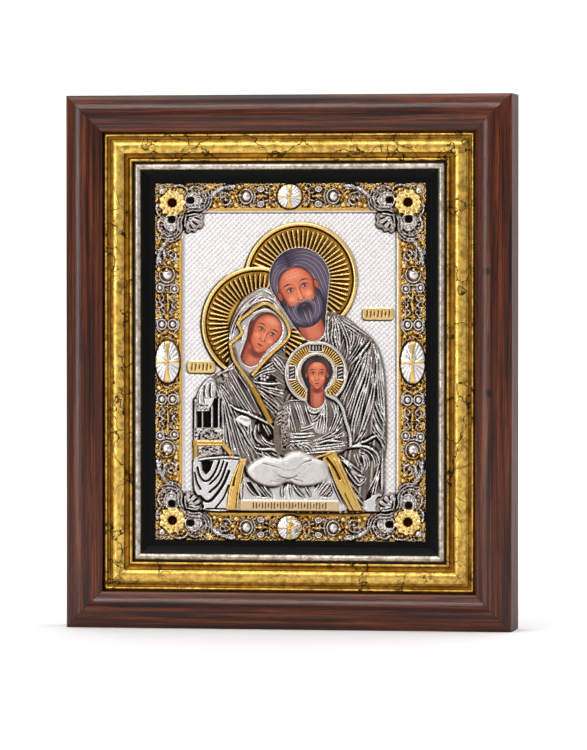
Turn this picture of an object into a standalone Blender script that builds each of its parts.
# Icon panel: a framed devotional picture with an embossed metal cover over a painted board.
# Units are metres, +Z is up and the picture faces -Y.
# The frame's underside stands on Z = 0 and its box is centred on X = 0 and Y = 0.
from math import cos, pi, radians, sin, sqrt

import bmesh
import bpy
import numpy as np
from mathutils import Vector

MM = 0.001

# Driving sizes of the whole
FRAME_WIDTH = 253.0 * MM
FRAME_HEIGHT = 300.0 * MM
FIT_GAP = 0.3 * MM

# Wood moulding: width of its face, height of its two arrises and of its round crest over the back, and
# the angle of the round's ellipse, in degrees, at which each arris cuts it off
WOOD_FACE = 20.6 * MM
WOOD_ARRIS = 31.5 * MM
WOOD_CREST = 35.2 * MM
WOOD_ROUND_TURN = 30
WOOD_BACK_ROUND = 1.2 * MM
WOOD_LIP = 6.6 * MM
WOOD_LIP_UNDER = 26.0 * MM

# Gilded liner: face from its outer bead to its inner bead, and the heights of its members
LINER_STEP = 1.2 * MM
LINER_FACE = 15.4 * MM
LINER_OUTER_BEAD = 1.3 * MM
LINER_INNER_BEAD = 1.6 * MM
LINER_BAND = 7.0 * MM
LINER_TOP = 30.2 * MM
LINER_INNER_TOP = 28.5 * MM
LINER_COVE_DEPTH = 1.3 * MM
LINER_LIP = 4.2 * MM
LINER_LIP_UNDER = 24.0 * MM

# Silvered fillet: the groove beside it, its half-round bead and its height
FILLET_GROOVE = 1.2 * MM
FILLET_BEAD = 3.6 * MM
FILLET_BASE = 26.8 * MM
FILLET_LIP = 2.5 * MM
FILLET_LIP_UNDER = 25.2 * MM

# Black slip: its whole face, the slope on it and the heights of the slope's two ends
SLIP_FACE = 7.5 * MM
SLIP_SLOPE = 3.6 * MM
SLIP_HIGH = 26.3 * MM
SLIP_LOW = 24.9 * MM
SLIP_EDGE = 24.4 * MM
SLIP_LIP = 3.3 * MM

# The layers that the frame holds
BACKING_RECESS = 1.5 * MM
BACKING_THICKNESS = 3.0 * MM
BOARD_THICKNESS = 17.0 * MM
COVER_THICKNESS = 1.2 * MM

# The cover's border band, the medallions and flowers on it
BORDER_WIDTH = 15.5 * MM
BORDER_LINE = 1.8 * MM
MEDALLION_ROUND = 7.4 * MM
MEDALLION_OVAL_WIDTH = 7.8 * MM
MEDALLION_OVAL_HEIGHT = 12.6 * MM
FLOWER_RADIUS = 7.8 * MM
FLOWER_INSET = 10.6 * MM
CORNER_BALL = 1.9 * MM

# The carving of the figures is drawn in units: this many units are the height that shows of the cover,
# and the grid that it is pressed on has this many steps up that height
CARVING_UNITS = 201
CARVING_STEPS = 365
COVER_TRIANGLES = 7400

# Sizes that follow from those above; t runs inward from the frame's outer edge, h forward from its back
LINER_START = WOOD_FACE + LINER_STEP
LINER_END = LINER_START + LINER_FACE
FILLET_START = LINER_END + FILLET_GROOVE
FILLET_END = FILLET_START + FILLET_BEAD
SLIP_END = FILLET_END + SLIP_FACE
SIGHT_WIDTH = FRAME_WIDTH - 2 * SLIP_END
SIGHT_HEIGHT = FRAME_HEIGHT - 2 * SLIP_END
BACKING_TOP = BACKING_RECESS + BACKING_THICKNESS
BOARD_BACK = BACKING_TOP + FIT_GAP
BOARD_FRONT = BOARD_BACK + BOARD_THICKNESS
COVER_BACK = BOARD_FRONT + FIT_GAP
COVER_GROUND = COVER_BACK + COVER_THICKNESS
FRAME_DEPTH = max(WOOD_CREST, WOOD_ARRIS)
FLANGE = SLIP_LIP - FIT_GAP
UNIT = SIGHT_HEIGHT / CARVING_UNITS
CARVING_CELL = CARVING_UNITS / CARVING_STEPS
FIELD_HALF = SIGHT_WIDTH / 2 / UNIT
FIELD_TOP = SIGHT_HEIGHT / UNIT


def clear_scene():
    """Remove every object of the open file."""
    for thing in list(bpy.data.objects):
        bpy.data.objects.remove(thing, do_unlink=True)


def material(name, colour, roughness, metallic):
    """A Principled material of one colour."""
    made = bpy.data.materials.new(name)
    made.use_nodes = True
    shader = made.node_tree.nodes["Principled BSDF"]
    shader.inputs["Base Color"].default_value = (*colour, 1.0)
    shader.inputs["Roughness"].default_value = roughness
    shader.inputs["Metallic"].default_value = metallic
    made.diffuse_color = (*colour, 1.0)
    return made


def add_object(name, mesh, collection, surface, crease=35):
    """Put a mesh into the part's collection with its material, smooth except at creases."""
    made = bpy.data.objects.new(name, mesh)
    mesh.materials.clear()
    mesh.materials.append(surface)
    mesh.shade_smooth()
    mesh.set_sharp_from_angle(angle=radians(crease))
    collection.objects.link(made)
    return made


def arc(centre, across, up, start, end, count):
    """Points along part of an ellipse, angles in degrees from the inward direction."""
    points = []
    for step in range(count + 1):
        angle = radians(start + (end - start) * step / count)
        points.append((centre[0] + across * cos(angle), centre[1] + up * sin(angle)))
    return points


def wood_profile():
    """Square back with rounded edge, then one broad round between two arrises, and the lip's rebate."""
    rebate = WOOD_FACE - WOOD_LIP
    turn = radians(WOOD_ROUND_TURN)
    round_half = WOOD_FACE / 2 / cos(turn)
    round_rise = (WOOD_CREST - WOOD_ARRIS) / (1 - sin(turn))
    points = arc((WOOD_BACK_ROUND, WOOD_BACK_ROUND), WOOD_BACK_ROUND, WOOD_BACK_ROUND, 270, 180, 3)
    points += arc((WOOD_FACE / 2, WOOD_CREST - round_rise), round_half, round_rise, 180 - WOOD_ROUND_TURN,
                  WOOD_ROUND_TURN, 14)
    points += [(WOOD_FACE, WOOD_LIP_UNDER), (rebate, WOOD_LIP_UNDER), (rebate, 0.0)]
    return points


def liner_profile():
    """Bead, cove, broad cushion, cove and bead, with a tongue under the wood's lip."""
    tongue = WOOD_FACE - WOOD_LIP + FIT_GAP
    tongue_top = WOOD_LIP_UNDER - FIT_GAP
    step_top = WOOD_LIP_UNDER + 1.6 * MM
    bead = LINER_OUTER_BEAD / 2
    inner_bead = LINER_INNER_BEAD / 2
    band_middle = LINER_START + LINER_FACE * 0.485
    band_foot = LINER_TOP - LINER_COVE_DEPTH
    inner_foot = LINER_INNER_TOP - inner_bead
    points = [(tongue, BOARD_BACK), (tongue, tongue_top), (WOOD_FACE + FIT_GAP, tongue_top)]
    points += [(WOOD_FACE + FIT_GAP, step_top), (LINER_START, step_top)]
    points += arc((LINER_START + bead, LINER_TOP - 0.4 * MM - bead), bead, bead, 180, 0, 4)
    points += [(LINER_START + LINER_OUTER_BEAD + 0.5 * MM, band_foot - 0.3 * MM)]
    points += arc((band_middle, band_foot), LINER_BAND / 2, LINER_COVE_DEPTH, 165, 15, 6)
    points += [(LINER_END - LINER_INNER_BEAD - 0.5 * MM, inner_foot - 0.6 * MM)]
    points += arc((LINER_END - inner_bead, inner_foot), inner_bead, inner_bead, 180, 0, 4)
    points += [(LINER_END, LINER_LIP_UNDER), (LINER_END - LINER_LIP, LINER_LIP_UNDER)]
    points += [(LINER_END - LINER_LIP, BOARD_BACK)]
    return points


def fillet_profile():
    """A half-round bead beside a groove, with a tongue under the liner's lip."""
    tongue = LINER_END - LINER_LIP + FIT_GAP
    tongue_top = LINER_LIP_UNDER - FIT_GAP
    bead = FILLET_BEAD / 2
    rebate = FILLET_END - FILLET_LIP
    points = [(tongue, BOARD_BACK), (tongue, tongue_top), (LINER_END + FIT_GAP, tongue_top)]
    points += [(LINER_END + FIT_GAP, FILLET_BASE - 1.2 * MM), (FILLET_START, FILLET_BASE - 1.2 * MM)]
    points += arc((FILLET_START + bead, FILLET_BASE), bead, bead, 180, 0, 7)
    points += [(FILLET_END, FILLET_LIP_UNDER), (rebate, FILLET_LIP_UNDER), (rebate, BOARD_BACK)]
    return points


def slip_profile():
    """A sloped face and a flat sight edge whose lip holds the cover."""
    tongue = FILLET_END - FILLET_LIP + FIT_GAP
    tongue_top = FILLET_LIP_UNDER - FIT_GAP
    face = FILLET_END + FIT_GAP
    rebate = SLIP_END - SLIP_LIP
    lip_under = COVER_GROUND + FIT_GAP
    return [
        (tongue, BOARD_BACK), (tongue, tongue_top), (face, tongue_top), (face, SLIP_HIGH),
        (face + 0.4 * MM, SLIP_HIGH), (face + SLIP_SLOPE, SLIP_LOW), (face + SLIP_SLOPE, SLIP_EDGE),
        (SLIP_END, SLIP_EDGE), (SLIP_END, lip_under), (rebate, lip_under), (rebate, BOARD_BACK),
    ]


def frame_rail(name, profile, side, collection, surface):
    """One mitred length: the profile's face is extruded and both ends are drawn in to the mitre."""
    turns = {"bottom": 0, "left": 90, "top": 180, "right": 270}
    upright = side in ("left", "right")
    length = FRAME_HEIGHT if upright else FRAME_WIDTH
    reach = FRAME_WIDTH / 2 if upright else FRAME_HEIGHT / 2
    mitre_cut = FIT_GAP / 2 * sqrt(2)
    shape = bmesh.new()
    corners = [shape.verts.new((0.0, FRAME_DEPTH / 2 - h, t - reach)) for t, h in profile]
    cap = shape.faces.new(corners)
    grown = bmesh.ops.extrude_face_region(shape, geom=[cap])["geom"]
    far_end = {item for item in grown if isinstance(item, bmesh.types.BMVert)}
    for vert in shape.verts:
        inward = vert.co.z + reach
        half = length / 2 - inward - mitre_cut
        vert.co.x = half if vert in far_end else -half
    bmesh.ops.recalc_face_normals(shape, faces=shape.faces)
    mesh = bpy.data.meshes.new(name)
    shape.to_mesh(mesh)
    shape.free()
    made = add_object(name, mesh, collection, surface)
    made.rotation_euler = (0.0, radians(turns[side]), 0.0)
    made.location = (0.0, 0.0, FRAME_HEIGHT / 2)
    return made


def smooth(value):
    """A soft step from 0 to 1."""
    held = np.clip(value, 0.0, 1.0)
    return held * held * (3.0 - 2.0 * held)


def through(points, closed=False, steps=5):
    """A Catmull-Rom curve through a few points."""
    points = np.asarray(points, float)
    if closed:
        ring = np.vstack([points[-1], points, points[0], points[1]])
    else:
        ring = np.vstack([2 * points[0] - points[1], points, 2 * points[-1] - points[-2]])
    along = np.linspace(0.0, 1.0, steps, endpoint=False)[:, None]
    pieces = []
    for before, start, end, after in zip(ring[:-3], ring[1:-2], ring[2:-1], ring[3:]):
        pieces.append(0.5 * (2 * start + (end - before) * along
                             + (2 * before - 5 * start + 4 * end - after) * along ** 2
                             + (3 * start - before - 3 * end + after) * along ** 3))
    if not closed:
        pieces.append(points[-1:])
    return np.vstack(pieces)


def ring_around(centre, across, up, count=40, turn=0.0):
    """An ellipse as a closed outline."""
    angle = np.linspace(0, 2 * pi, count, endpoint=False)
    x = across * np.cos(angle)
    y = up * np.sin(angle)
    return np.stack([centre[0] + x * cos(turn) - y * sin(turn), centre[1] + x * sin(turn) + y * cos(turn)], -1)


def envelope(circles, centre, count=56):
    """The outline that a set of overlapping circles shows from a point inside them all."""
    angle = np.linspace(0, 2 * pi, count, endpoint=False)
    ray = np.stack([np.cos(angle), np.sin(angle)], -1)
    reach = np.zeros(count)
    for x, y, radius in circles:
        offset = np.array([x - centre[0], y - centre[1]])
        ahead = ray @ offset
        inside = radius ** 2 - (offset @ offset - ahead ** 2)
        exit_at = ahead + np.sqrt(np.maximum(inside, 0.0))
        reach = np.where(inside > 0, np.maximum(reach, exit_at), reach)
    return np.asarray(centre) + ray * reach[:, None]


def taper(start, end, count=10):
    """Circles that run evenly from one circle to another."""
    share = np.linspace(0, 1, count)[:, None]
    return np.asarray(start) * (1 - share) + np.asarray(end) * share


# The three openings, each as the circles of a head and of the neck below it: x, y, radius in units
MAN_HEAD = np.vstack([taper((5.6, 147.6, 16.8), (10.6, 126.6, 9.8)), taper((10.6, 126.6, 9.8), (13.0, 119.6, 7.2))])
WOMAN_HEAD = np.vstack([taper((-13.6, 119.0, 9.6), (-17.6, 112.0, 6.8)), taper((-17.6, 112.0, 6.8), (-22.0, 103.6, 5.6))])
CHILD_HEAD = np.vstack([taper((15.7, 95.4, 8.9), (15.4, 89.6, 6.4)), taper((15.4, 89.6, 4.6), (15.0, 79.6, 4.9))])
OPENINGS = {
    "man": envelope(MAN_HEAD, (8.0, 137.0)),
    "woman": envelope(WOMAN_HEAD, (-17.0, 112.0)),
    "child": envelope(CHILD_HEAD, (15.4, 88.0)),
}

# Haloes: centre, radius; the rim's width and the ribs' reach are shares of the radius
MAN_HALO = ((6.3, 147.0), 32.3)
WOMAN_HALO = ((-18.0, 122.0), 32.3)
CHILD_HALO = ((15.3, 94.5), 18.0)
HALO_RIBS = 82

# Outlines of the clothed bodies, in units from the middle of the cover's foot
GROUP_FOOT = 17.0
MAN_ROBE = through([
    (1.5, 124.0), (10.0, 112.0), (20.5, 121.0), (22.0, 128.8), (31.0, 126.2), (39.0, 120.2), (46.5, 114.0),
    (51.5, 105.0), (54.2, 90.0), (55.2, 60.0), (53.8, 44.0), (53.6, 20.0), (50.0, GROUP_FOOT),
    (0.0, GROUP_FOOT), (-12.0, 60.0), (-8.0, 110.0)], closed=True)
WOMAN_ROBE = through([
    (-13.5, 142.6), (-6.0, 136.8), (-0.6, 128.6), (1.4, 119.0), (-2.0, 108.0), (-1.0, 96.0), (-3.0, 80.0),
    (0.0, 50.0), (2.0, 20.0), (-6.0, GROUP_FOOT), (-50.0, GROUP_FOOT), (-54.4, 21.0), (-54.6, 60.0),
    (-53.6, 78.0), (-50.0, 86.4), (-42.0, 93.6), (-35.0, 98.4), (-34.6, 110.0), (-33.6, 122.0),
    (-27.8, 134.4), (-20.5, 140.6)], closed=True)
CHILD_ROBE = through([
    (-9.0, 62.0), (-7.0, 71.0), (-2.0, 78.6), (6.0, 79.4), (14.0, 77.0), (22.0, 83.0), (29.0, 78.8),
    (32.4, 66.0), (34.6, 54.0), (24.0, 48.0), (4.0, 47.0), (-7.0, 50.0)], closed=True)
LEFT_HAND = ring_around((-12.0, 38.8), 12.2, 7.3, 26, radians(-6))
RIGHT_HAND = ring_around((12.4, 40.0), 11.4, 6.6, 26, radians(10))
THUMB = ring_around((3.6, 46.4), 6.0, 4.2, 20)
SHOULDER_HAND = through([(-52.6, 80.0), (-50.5, 85.5), (-45.0, 91.4), (-41.4, 88.0), (-43.0, 79.4), (-48.0, 74.0)], closed=True)

# Folds run from points between the first two to points between the last two, with a bow to their left
FOLD_FANS = {
    "man_chest": ((22.0, 126.0), (38.0, 120.5), (23.5, 112.5), (41.0, 110.0), 0.4, 7),
    "man_arm": ((44.0, 111.5), (50.0, 107.5), (33.0, 82.0), (54.0, 62.0), 1.0, 9),
    "man_elbow": ((48.0, 76.0), (54.0, 68.0), (40.0, 54.0), (54.5, 50.0), 3.0, 6),
    "man_side": ((36.0, 72.0), (47.0, 68.0), (34.5, 54.0), (42.0, 55.0), 0.5, 4),
    "man_lap": ((29.5, 46.0), (44.0, 38.0), (40.0, 19.0), (49.0, 19.0), 0.6, 5),
    "man_hem": ((50.0, 50.0), (53.6, 46.0), (50.5, 20.0), (53.0, 20.0), 0.0, 2),
    "man_collar": ((2.0, 117.0), (6.0, 112.0), (-1.0, 103.0), (4.0, 108.0), 0.4, 3),
    "woman_hood": ((-31.5, 112.0), (-34.0, 112.0), (-13.0, 136.0), (-13.5, 141.6), -7.5, 3),
    "woman_shoulder": ((-42.0, 89.0), (-32.5, 98.0), (-38.0, 48.0), (-12.5, 68.0), 1.5, 10),
    "woman_breast": ((-19.5, 93.0), (-15.5, 80.0), (-2.5, 96.0), (-8.5, 69.0), -0.8, 7),
    "woman_throat": ((-16.0, 97.5), (-6.0, 104.0), (-5.0, 96.5), (-3.0, 100.0), 0.3, 4),
    "woman_lap": ((-27.0, 66.0), (-14.0, 62.0), (-27.5, 47.0), (-5.0, 50.0), -3.0, 6),
    "child_left": ((1.0, 77.0), (10.0, 73.0), (1.5, 61.0), (12.0, 62.0), 0.2, 5),
    "child_right": ((17.0, 72.5), (28.0, 75.0), (17.0, 56.0), (30.0, 59.0), 0.6, 6),
    "child_sash": ((0.0, 60.0), (0.0, 55.5), (15.0, 61.5), (15.0, 56.5), 0.5, 3),
    "child_side": ((-7.0, 66.0), (-2.0, 76.0), (-6.0, 50.0), (-1.5, 50.0), 0.0, 3),
    "skirt_left": ((-25.0, 32.0), (-9.0, 31.0), (-17.0, 24.0), (-8.0, 24.0), -0.4, 4),
    "skirt_right": ((2.0, 32.0), (22.0, 37.0), (9.0, 24.0), (28.0, 24.0), 0.4, 6),
    "cloth": ((-51.5, 44.0), (-39.0, 44.0), (-36.0, 19.0), (-30.5, 43.0), -9.0, 6),
}
GOLD_HEMS = {
    "veil": ([(-28.5, 104.0), (-22.0, 92.0), (-15.5, 78.0), (-10.0, 66.6)], 1.5),
    "veil_left": ([(-34.0, 110.6), (-29.0, 112.0), (-27.0, 117.0), (-29.0, 123.0)], 1.1),
    "veil_top": ([(-29.0, 123.0), (-21.5, 130.6), (-13.0, 133.4), (-5.0, 130.0), (-0.5, 122.0)], 1.3),
    "veil_right": ([(-0.5, 122.0), (-0.5, 113.6), (-10.0, 105.4), (-18.0, 98.0), (-22.0, 92.0)], 1.1),
    "left": ([(-25.4, 45.6), (-28.4, 36.0), (-30.6, 27.0), (-31.6, GROUP_FOOT)], 2.9),
    "right": ([(23.5, 48.4), (26.8, 41.0), (31.6, 30.0), (37.6, GROUP_FOOT)], 2.9),
}
NAME_PLATES = {"left": ((-50.4, 97.6), 8.0, 3.4), "right": ((50.2, 127.6), 8.8, 3.4)}
FOOT_PLATE = ((0.3, 19.8), 27.8, 2.9)
BENCH = ((-46.2, 55.0), 8.2, 8.2)

# One half of a border band: motif, distance from the medallion's middle, distance from the band's middle, size
LONG_BAND = [
    ("scroll", 20.5, 2.9, 4.0), ("leaf", 27.0, 0.0, 3.6), ("scroll", 34.0, 3.2, 4.2), ("ball", 41.6, 4.6, 1.7),
    ("scroll", 48.0, 2.9, 4.4), ("leaf", 55.0, 0.0, 4.0), ("scroll", 63.0, 3.2, 4.2), ("ball", 70.5, 4.4, 1.5),
]
SHORT_BAND = [
    ("leaf", 11.4, 0.0, 3.4), ("scroll", 18.0, 3.0, 4.2), ("leaf", 25.4, 0.0, 3.6), ("ball", 28.4, 4.6, 1.5),
    ("scroll", 35.0, 3.1, 4.6), ("leaf", 42.0, 0.0, 3.4),
]


class Relief:
    """A height over the cover's whole sheet, in units, onto which shapes are pressed in turn."""

    def __init__(self):
        reach = FIELD_HALF + FLANGE / UNIT
        low = -FLANGE / UNIT
        high = FIELD_TOP + FLANGE / UNIT
        self.columns = int(round(2 * reach / CARVING_CELL)) + 1
        self.rows = int(round((high - low) / CARVING_CELL)) + 1
        self.x = np.linspace(-reach, reach, self.columns)
        self.y = np.linspace(low, high, self.rows)
        self.height = np.zeros((self.rows, self.columns))

    def window(self, points, margin):
        """The part of the grid around some points, as slices and as coordinates."""
        low = points.min(axis=0) - margin
        high = points.max(axis=0) + margin
        rows = slice(*np.searchsorted(self.y, (low[1], high[1])))
        columns = slice(*np.searchsorted(self.x, (low[0], high[0])))
        x, y = np.meshgrid(self.x[columns], self.y[rows])
        return (rows, columns), x, y

    def lay(self, outline, level, shoulder=1.1, dome=0.0):
        """Cover what lies under an outline with a slab of a height, with soft shoulders."""
        part, x, y = self.window(outline, shoulder)
        depth = depth_inside(outline, x, y)
        cover = smooth(depth / shoulder + 0.5)
        reach = max(depth.max(), 1e-6)
        raised = level + dome * np.sqrt(np.clip(depth / reach, 0, 1))
        self.height[part] = self.height[part] * (1 - cover) + raised * cover

    def ridge(self, line, half_width, lift, inside=None):
        """Raise a rounded ridge along a line, only inside an outline if one is given."""
        part, x, y = self.window(line, half_width * 1.6)
        away = distance_to(line, x, y)
        rise = lift * (1 - smooth(away / (half_width * 1.25)))
        if inside is not None:
            rise = rise * smooth(depth_inside(inside, x, y) / 1.4)
        self.height[part] += rise

    def ribbon(self, line, half_width, level):
        """Lay a flat band of a height along a line."""
        part, x, y = self.window(line, half_width * 1.6)
        cover = smooth((half_width - distance_to(line, x, y)) / 1.0 + 0.5)
        self.height[part] = np.where(cover > 0, self.height[part] * (1 - cover) + level * cover, self.height[part])


def distance_to(line, x, y, closed=False):
    """The distance from each place to a chain of points."""
    ends = np.roll(line, -1, axis=0) if closed else line[1:]
    best = np.full(x.shape, np.inf)
    for (ax, ay), (bx, by) in zip(line[:len(ends)], ends):
        dx, dy = bx - ax, by - ay
        share = np.clip(((x - ax) * dx + (y - ay) * dy) / max(dx * dx + dy * dy, 1e-12), 0, 1)
        best = np.minimum(best, (x - ax - share * dx) ** 2 + (y - ay - share * dy) ** 2)
    return np.sqrt(best)


def depth_inside(outline, x, y):
    """The distance in from a closed outline, negative outside it."""
    inside = np.zeros(x.shape, bool)
    for (ax, ay), (bx, by) in zip(outline, np.roll(outline, -1, axis=0)):
        crosses = (ay > y) != (by > y)
        at = ax + (y - ay) * (bx - ax) / (by - ay if by != ay else 1e-12)
        inside ^= crosses & (x < at)
    away = distance_to(outline, x, y, closed=True)
    return np.where(inside, away, -away)


def box_outline(centre, half_width, half_height):
    """A rectangle as a closed outline."""
    x, y = centre
    return np.array([(x - half_width, y - half_height), (x + half_width, y - half_height),
                     (x + half_width, y + half_height), (x - half_width, y + half_height)])


def press_halo(relief, halo, level, ribs=True):
    """A round rim, a channel inside it and a ring of narrow ribs around the head."""
    centre, radius = halo
    outline = ring_around(centre, radius, radius, 72)
    part, x, y = relief.window(outline, 1.0)
    away = np.hypot(x - centre[0], y - centre[1])
    angle = np.arctan2(y - centre[1], x - centre[0])
    rim = 1 - smooth(np.abs(away - radius * 0.965) / (radius * 0.045))
    ring = smooth((radius * 0.9 - away) / 0.8) * smooth((away - radius * 0.52) / 0.8)
    wave = 0.5 + 0.5 * np.cos(angle * HALO_RIBS) if ribs else 0.6
    surface = level + 0.9 * rim + 0.7 * ring * wave
    cover = smooth((radius - away) / 0.9 + 0.5)
    relief.height[part] = relief.height[part] * (1 - cover) + surface * cover


def press_fan(relief, fan, half_width, lift, inside=None):
    """A fan of folds, each one bowed the same way."""
    first, second, third, fourth, bow, count = fan
    for step in range(count):
        share = (step + 0.5) / count
        start = np.asarray(first) * (1 - share) + np.asarray(second) * share
        end = np.asarray(third) * (1 - share) + np.asarray(fourth) * share
        run = end - start
        side = np.array([-run[1], run[0]]) / np.hypot(*run)
        middle = (start + end) / 2 + side * bow
        relief.ridge(through([start, middle, end], steps=4), half_width, lift, inside)


def press_medallion(relief, centre, across, up):
    """A domed boss with a raised cross whose arms widen outward."""
    outline = ring_around(centre, across, up, 36)
    part, x, y = relief.window(outline, 1.0)
    along = (x - centre[0]) / across
    rise = (y - centre[1]) / up
    away = np.hypot(along, rise)
    dome = 0.9 + 1.7 * np.sqrt(np.clip(1 - away ** 2, 0, 1))
    arm_up = smooth((0.17 + 0.1 * np.abs(rise) - np.abs(along)) / 0.08 + 0.5)
    arm_across = smooth((0.12 + 0.06 * np.abs(along) - np.abs(rise)) / 0.07 + 0.5)
    cross = np.maximum(arm_up, arm_across) * smooth((0.95 - away) / 0.1)
    cover = smooth((1 - away) * min(across, up) + 0.5)
    surface = dome + 0.5 * cross
    relief.height[part] = relief.height[part] * (1 - cover) + surface * cover


def press_flower(relief, centre, radius, petals=10):
    """An open flower: two lifted petals to each tenth of a turn around a deep eye."""
    outline = ring_around(centre, radius, radius, 36)
    part, x, y = relief.window(outline, 1.0)
    away = np.hypot(x - centre[0], y - centre[1]) / radius
    angle = np.arctan2(y - centre[1], x - centre[0])
    lobes = 0.5 + 0.5 * np.cos(angle * petals)
    edge = 0.88 + 0.12 * lobes
    bowl = smooth((away - 0.12) / 0.36)
    surface = 0.5 + 1.9 * bowl * (0.72 + 0.28 * lobes)
    cover = smooth((edge - away) * radius / 0.9 + 0.5)
    relief.height[part] = relief.height[part] * (1 - cover) + surface * cover


def press_band(relief, middle, along, across, motifs):
    """Scrolls, leaves and balls on one half of a border band, alike on both sides of its middle line."""
    middle, along, across = np.asarray(middle), np.asarray(along), np.asarray(across)
    for kind, far, off, size in motifs:
        for side in ((-1, 1) if off else (1,)):
            place = middle + along * far + across * off * side
            if kind == "ball":
                relief.lay(ring_around(place, size, size, 16), 1.2, 0.9, dome=0.8)
            if kind == "leaf":
                relief.ridge(np.array([place - along * size * 0.8, place + along * size * 0.8]), 1.5, 1.3)
            if kind == "scroll":
                turn = np.linspace(0.1, 1.75, 12) * pi
                reach = size * (1 - 0.26 * turn / pi)
                swing = along * np.cos(turn)[:, None] + across * side * np.sin(turn)[:, None]
                relief.ridge(place + swing * reach[:, None], 1.0, 1.25)


def press_border(relief):
    """The border band with its line, medallions, flowers, shells and scrolls."""
    band = BORDER_WIDTH / UNIT
    middle = band / 2
    inset = FLOWER_INSET / UNIT
    outer = box_outline((0.0, FIELD_TOP / 2), FIELD_HALF, FIELD_TOP / 2)
    inner = box_outline((0.0, FIELD_TOP / 2), FIELD_HALF - band, FIELD_TOP / 2 - band)
    x, y = np.meshgrid(relief.x, relief.y)
    bed = smooth(depth_inside(outer, x, y) / 0.9) * smooth(0.5 - depth_inside(inner, x, y) / 0.9)
    relief.height = np.maximum(relief.height, 0.35 * bed)
    line = BORDER_LINE / UNIT / 2
    closed_inner = np.vstack([inner, inner[:1]])
    relief.ridge(closed_inner, line, 0.8)
    side_x = FIELD_HALF - middle
    for side in (-1, 1):
        for way in (-1, 1):
            press_band(relief, (side * side_x, FIELD_TOP / 2), (0, way), (1, 0), LONG_BAND)
            press_band(relief, (0.0, FIELD_TOP / 2 + side * (FIELD_TOP / 2 - middle)), (way, 0), (0, 1), SHORT_BAND)
            corner = np.array([side * FIELD_HALF, FIELD_TOP / 2 + way * FIELD_TOP / 2])
            inward = np.array([-side, -way])
            flower = corner + inward * (inset, inset + 0.8)
            for lobe in range(5):
                angle = radians(45 + (lobe - 2) * 24)
                tip = flower + inward * np.array([cos(angle), sin(angle)]) * 18.0
                start = flower + inward * np.array([cos(angle), sin(angle)]) * 9.0
                relief.ridge(np.array([start, tip]), 2.1, 1.3)
            for shell in ((15.5, 1.5), (1.5, 16.0)):
                place = flower + inward * shell
                relief.lay(ring_around(place, 5.2, 5.2, 20), 1.2, 1.2, dome=0.7)
            press_flower(relief, flower, FLOWER_RADIUS / UNIT)
            ball = CORNER_BALL / UNIT
            relief.lay(ring_around(corner + inward * 4.6, ball, ball, 16), 1.0, 0.9, dome=0.9)
        press_medallion(relief, (side * side_x, FIELD_TOP / 2), MEDALLION_OVAL_WIDTH / UNIT, MEDALLION_OVAL_HEIGHT / UNIT)
        round_y = FIELD_TOP / 2 + side * (FIELD_TOP / 2 - middle)
        press_medallion(relief, (0.0, round_y), MEDALLION_ROUND / UNIT, MEDALLION_ROUND / UNIT)


def press_figures(relief):
    """The three haloed figures, from the furthest layer to the nearest."""
    press_halo(relief, MAN_HALO, 0.9)
    relief.lay(MAN_ROBE, 2.2)
    for name in ("man_chest", "man_arm", "man_elbow", "man_side", "man_lap", "man_hem", "man_collar"):
        press_fan(relief, FOLD_FANS[name], 1.15, 0.95, MAN_ROBE)
    press_halo(relief, WOMAN_HALO, 1.2)
    relief.lay(WOMAN_ROBE, 2.6)
    for name in ("woman_hood", "woman_shoulder", "woman_breast", "woman_throat", "woman_lap"):
        press_fan(relief, FOLD_FANS[name], 1.15, 0.95, WOMAN_ROBE)
    relief.lay(box_outline(*BENCH), 2.3)
    relief.lay(SHOULDER_HAND, 3.3)
    press_fan(relief, FOLD_FANS["cloth"], 1.1, 0.95, WOMAN_ROBE)
    for name in ("skirt_left", "skirt_right"):
        press_fan(relief, FOLD_FANS[name], 1.2, 0.9)
    press_halo(relief, CHILD_HALO, 2.3, ribs=False)
    relief.lay(CHILD_ROBE, 3.1)
    for name in ("child_left", "child_right", "child_sash", "child_side"):
        press_fan(relief, FOLD_FANS[name], 1.05, 0.85, CHILD_ROBE)
    for points, half_width in GOLD_HEMS.values():
        relief.ribbon(through(points, steps=4), half_width, 3.5)
    relief.lay(LEFT_HAND, 3.4, 1.6, dome=0.9)
    relief.lay(THUMB, 3.2, 1.4, dome=0.6)
    relief.lay(RIGHT_HAND, 3.5, 1.6, dome=0.9)
    for centre, half_width, half_height in NAME_PLATES.values():
        relief.lay(ring_around(centre, half_width, half_height, 20), 0.8, 0.9)
    relief.lay(box_outline(*FOOT_PLATE), 2.9, 0.9)


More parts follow.
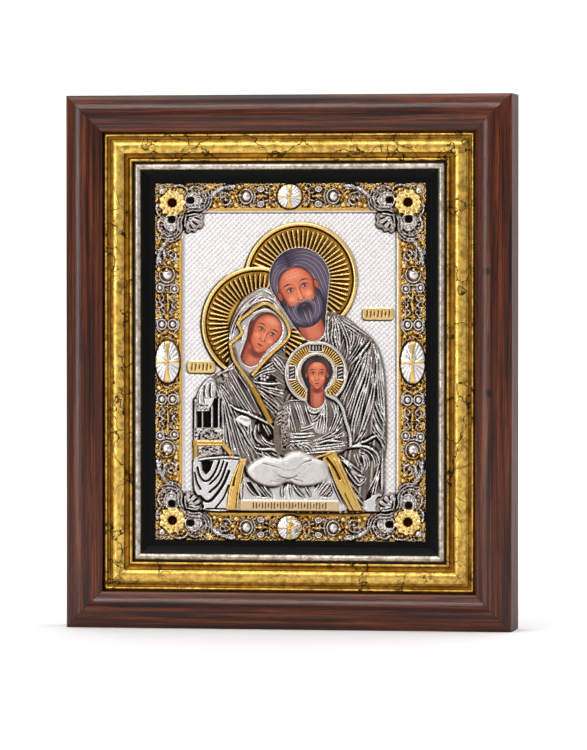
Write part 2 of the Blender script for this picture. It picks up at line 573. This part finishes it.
def open_grid(relief, openings):
    """Grid points drawn onto the openings' outlines, and the triangles left outside the openings."""
    x, y = np.meshgrid(relief.x, relief.y)
    height = relief.height
    side = np.ones(x.shape)
    for outline in openings:
        part, near_x, near_y = relief.window(outline, 3.0)
        depth = depth_inside(outline, near_x, near_y)
        slope_y, slope_x = np.gradient(depth, relief.y[1] - relief.y[0], relief.x[1] - relief.x[0])
        steep = np.maximum(np.hypot(slope_x, slope_y), 0.5)
        near = np.abs(depth) < CARVING_CELL * 0.5
        x[part] -= np.where(near, depth * slope_x / steep, 0)
        y[part] -= np.where(near, depth * slope_y / steep, 0)
        side[part] = np.where(near, 0, np.where(depth > 0, -1, side[part]))
    number = np.arange(x.size).reshape(x.shape)
    corners = [number[:-1, :-1], number[:-1, 1:], number[1:, 1:], number[1:, :-1]]
    a, b, c, d = (corner.ravel() for corner in corners)
    sides = side.ravel()
    other = (sides[a] * sides[c] < 0)[:, None]
    first = np.where(other, np.stack([a, b, d], -1), np.stack([a, b, c], -1))
    second = np.where(other, np.stack([b, c, d], -1), np.stack([a, c, d], -1))
    triangles = np.vstack([first, second])
    held = sides[triangles]
    centre_x = x.ravel()[triangles].mean(axis=1)
    centre_y = y.ravel()[triangles].mean(axis=1)
    within = np.zeros(len(triangles), bool)
    on_edge = np.flatnonzero((held == 0).all(axis=1))
    for outline in openings:
        within[on_edge] |= depth_inside(outline, centre_x[on_edge], centre_y[on_edge]) > 0
    keep = (held >= 0).all(axis=1) & ~within
    return x, y, height, triangles[keep]


def unfold(shape):
    """Draw the corners of any triangle that thinning has folded over towards their neighbours."""
    for _ in range(20):
        shape.normal_update()
        folded = {vert for face in shape.faces if face.normal.y > -0.03 for vert in face.verts}
        loose = [vert for vert in folded if not vert.is_boundary]
        if not loose:
            break
        places = []
        for vert in loose:
            around = [edge.other_vert(vert).co for edge in vert.link_edges]
            places.append(sum(around, Vector()) / len(around))
        for vert, place in zip(loose, places):
            vert.co = vert.co.lerp(place, 0.5)


def metal_cover(collection, surface):
    """The embossed sheet: its face is carved on a fine grid, thinned, and closed with a flat back."""
    relief = Relief()
    press_figures(relief)
    press_border(relief)
    for outline in OPENINGS.values():
        edge = np.vstack([outline, outline[:1]])
        part, x, y = relief.window(edge, 2.4)
        near = 1 - smooth((distance_to(edge, x, y) - 0.8) / 1.2)
        relief.height[part] = relief.height[part] * (1 - near) + 2.0 * near
    x, y, height, triangles = open_grid(relief, OPENINGS.values())
    used, index = np.unique(triangles, return_inverse=True)
    places = np.stack([x.ravel() * UNIT, FRAME_DEPTH / 2 - COVER_GROUND - height.ravel() * UNIT,
                       SLIP_END + y.ravel() * UNIT], -1)[used]
    face = bpy.data.meshes.new("metal_cover_face")
    face.from_pydata(places.tolist(), [], index.reshape(-1, 3).tolist())
    made = add_object("metal_cover", face, collection, surface)
    thin = made.modifiers.new("Thin the carved face", "DECIMATE")
    thin.ratio = COVER_TRIANGLES / len(triangles)
    thin.use_collapse_triangulate = True
    bpy.context.view_layer.update()
    evaluated = made.evaluated_get(bpy.context.evaluated_depsgraph_get())
    shape = bmesh.new()
    shape.from_mesh(bpy.data.meshes.new_from_object(evaluated))
    made.modifiers.remove(thin)
    unfold(shape)
    rim = [edge for edge in shape.edges if edge.is_boundary]
    drawn = bmesh.ops.extrude_edge_only(shape, edges=rim)["geom"]
    for item in drawn:
        if isinstance(item, bmesh.types.BMVert):
            item.co.y = FRAME_DEPTH / 2 - COVER_BACK
    back_rim = [item for item in drawn if isinstance(item, bmesh.types.BMEdge) and item.is_boundary]
    bmesh.ops.triangle_fill(shape, edges=back_rim, use_beauty=True)
    bmesh.ops.recalc_face_normals(shape, faces=shape.faces)
    closed = bpy.data.meshes.new("metal_cover")
    shape.to_mesh(closed)
    shape.free()
    closed.materials.append(surface)
    closed.shade_smooth()
    closed.set_sharp_from_angle(angle=radians(30))
    made.data = closed
    bpy.data.meshes.remove(face)
    return made


def box_mesh(name, size, centre):
    """A box of a size around a centre."""
    shape = bmesh.new()
    bmesh.ops.create_cube(shape, size=1.0)
    for vert in shape.verts:
        vert.co = [middle + length * part for middle, length, part in zip(centre, size, vert.co)]
    mesh = bpy.data.meshes.new(name)
    shape.to_mesh(mesh)
    shape.free()
    return mesh


def painted_board(collection, cutters, surface):
    """The picture board, with a low pad rising into each opening of the cover."""
    width = SIGHT_WIDTH + 2 * FLANGE
    height = SIGHT_HEIGHT + 2 * FLANGE
    middle = (0.0, FRAME_DEPTH / 2 - (BOARD_BACK + BOARD_FRONT) / 2, FRAME_HEIGHT / 2)
    board = add_object("painted_board", box_mesh("painted_board", (width, BOARD_THICKNESS, height), middle),
                       collection, surface)
    pad_foot = FRAME_DEPTH / 2 - (BOARD_FRONT - 2.0 * MM)
    pad_shoulder = FRAME_DEPTH / 2 - (COVER_GROUND + 1.0 * MM)
    pad_top = FRAME_DEPTH / 2 - (COVER_GROUND + 1.6 * MM)
    clearance = 0.5 * MM / UNIT
    for name, outline in OPENINGS.items():
        shape = bmesh.new()
        loops = []
        for depth, inset in ((pad_foot, clearance), (pad_shoulder, clearance), (pad_top, clearance + 1.2)):
            inner = shrink(outline[::2], inset)
            loops.append([shape.verts.new((x * UNIT, depth, SLIP_END + y * UNIT)) for x, y in inner])
        for low, high in zip(loops[:-1], loops[1:]):
            for step in range(len(low)):
                after = (step + 1) % len(low)
                shape.faces.new((low[step], low[after], high[after], high[step]))
        shape.faces.new(loops[0])
        shape.faces.new(loops[-1])
        bmesh.ops.recalc_face_normals(shape, faces=shape.faces)
        mesh = bpy.data.meshes.new(name + "_pad")
        shape.to_mesh(mesh)
        shape.free()
        pad = bpy.data.objects.new(name + "_pad", mesh)
        pad.hide_render = True
        pad.display_type = "WIRE"
        cutters.objects.link(pad)
        join = board.modifiers.new("Join the " + name + " pad", "BOOLEAN")
        join.operation = "UNION"
        join.solver = "EXACT"
        join.object = pad
    return board


def shrink(outline, inset):
    """A closed outline drawn in by the same amount all round."""
    before = np.roll(outline, 1, axis=0)
    after = np.roll(outline, -1, axis=0)
    run = after - before
    inward = np.stack([-run[:, 1], run[:, 0]], -1) / np.hypot(run[:, 0], run[:, 1])[:, None]
    return outline + inward * inset


def backing_board(collection, surface):
    """The thin board set into the frame's back."""
    edge = WOOD_FACE - WOOD_LIP + FIT_GAP
    size = (FRAME_WIDTH - 2 * edge, BACKING_THICKNESS, FRAME_HEIGHT - 2 * edge)
    middle = (0.0, FRAME_DEPTH / 2 - BACKING_RECESS - BACKING_THICKNESS / 2, FRAME_HEIGHT / 2)
    return add_object("backing_board", box_mesh("backing_board", size, middle), collection, surface)


def main():
    clear_scene()
    collection = bpy.data.collections.new("icon_panel")
    cutters = bpy.data.collections.new("icon_panel_pads")
    bpy.context.scene.collection.children.link(collection)
    bpy.context.scene.collection.children.link(cutters)
    wood = material("stained_wood", (0.085, 0.030, 0.022), 0.38, 0.0)
    gilt = material("gilded_liner", (0.62, 0.44, 0.16), 0.35, 0.9)
    silver = material("silvered_fillet", (0.72, 0.68, 0.66), 0.3, 0.9)
    black = material("black_slip", (0.012, 0.012, 0.013), 0.35, 0.0)
    cover = material("embossed_silver", (0.72, 0.70, 0.66), 0.25, 1.0)
    paint = material("painted_board", (0.55, 0.26, 0.17), 0.55, 0.0)
    backing = material("brown_backing", (0.20, 0.13, 0.08), 0.8, 0.0)
    rings = (("wood_rail", wood_profile(), wood), ("gilt_liner", liner_profile(), gilt),
             ("silver_fillet", fillet_profile(), silver), ("black_slip", slip_profile(), black))
    for name, profile, surface in rings:
        for side in ("bottom", "top", "left", "right"):
            frame_rail(name + "_" + side, profile, side, collection, surface)
    metal_cover(collection, cover)
    painted_board(collection, cutters, paint)
    backing_board(collection, backing)


main()
